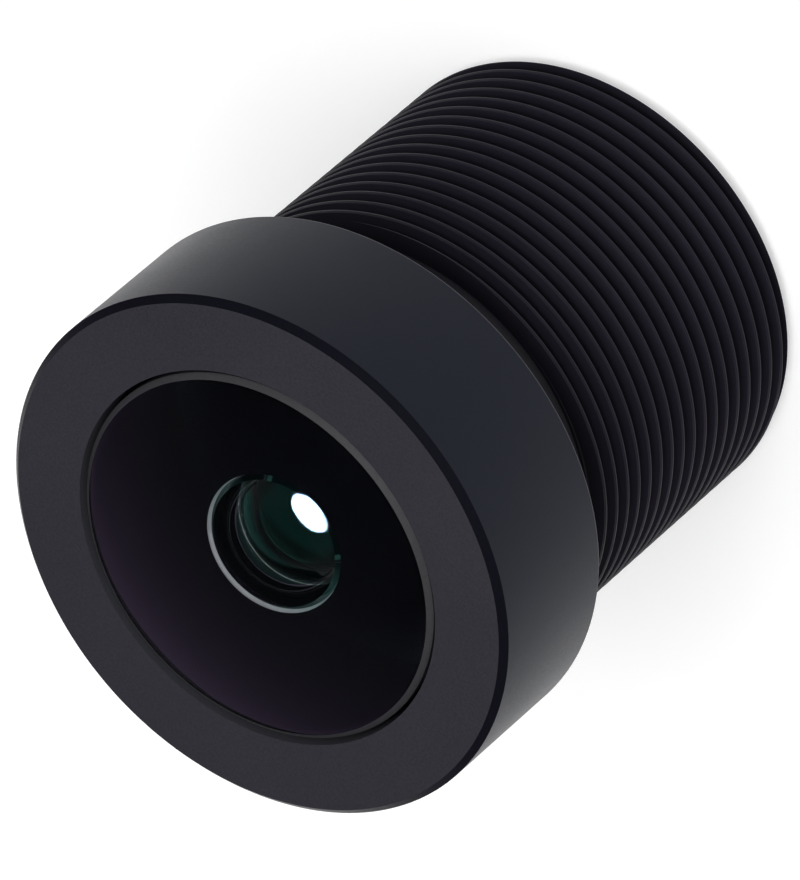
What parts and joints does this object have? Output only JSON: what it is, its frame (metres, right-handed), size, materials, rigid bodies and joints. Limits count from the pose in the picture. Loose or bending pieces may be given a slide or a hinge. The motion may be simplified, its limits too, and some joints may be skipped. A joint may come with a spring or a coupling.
{
  "type": "board camera lens",
  "caption": "Small black fixed-focus lens for a board camera: a round head with a convex front lens on a barrel with a fine M12 mounting thread.",
  "frame": {"origin": "centre of the barrel's rear end face", "axes": "+Z along the optical axis, out of the front lens; the lens stands on its rear end; X and Y are any two square directions, because the lens is round"},
  "size_m": [0.014, 0.014, 0.0159],
  "materials": {
    "anodised_black": "satin black anodised",
    "spacer_black": "matt black anodised",
    "film_black": "matt black film",
    "seal_rubber": "black rubber",
    "front_glass": "polished and coated",
    "green_coated_glass": "polished, green coating",
    "inner_glass": "polished and coated",
    "filter_glass": "polished, pale cyan with a pink coating"
  },
  "bodies": {
    "root": {"front_cap": "anodised_black", "barrel": "anodised_black", "front_lens": "front_glass", "front_seal_ring": "seal_rubber", "front_light_shield": "spacer_black", "second_lens": "green_coated_glass", "second_light_shield": "film_black", "first_spacer": "spacer_black", "third_lens": "inner_glass", "stop_spacer": "spacer_black", "aperture_stop": "film_black", "doublet_spacer": "spacer_black", "cemented_doublet": "inner_glass", "rear_light_shield": "film_black", "rear_spacer": "spacer_black", "rear_lens": "inner_glass", "rear_retaining_ring": "spacer_black", "infrared_filter": "filter_glass", "filter_ring": "spacer_black"}
  },
  "joints": []
}
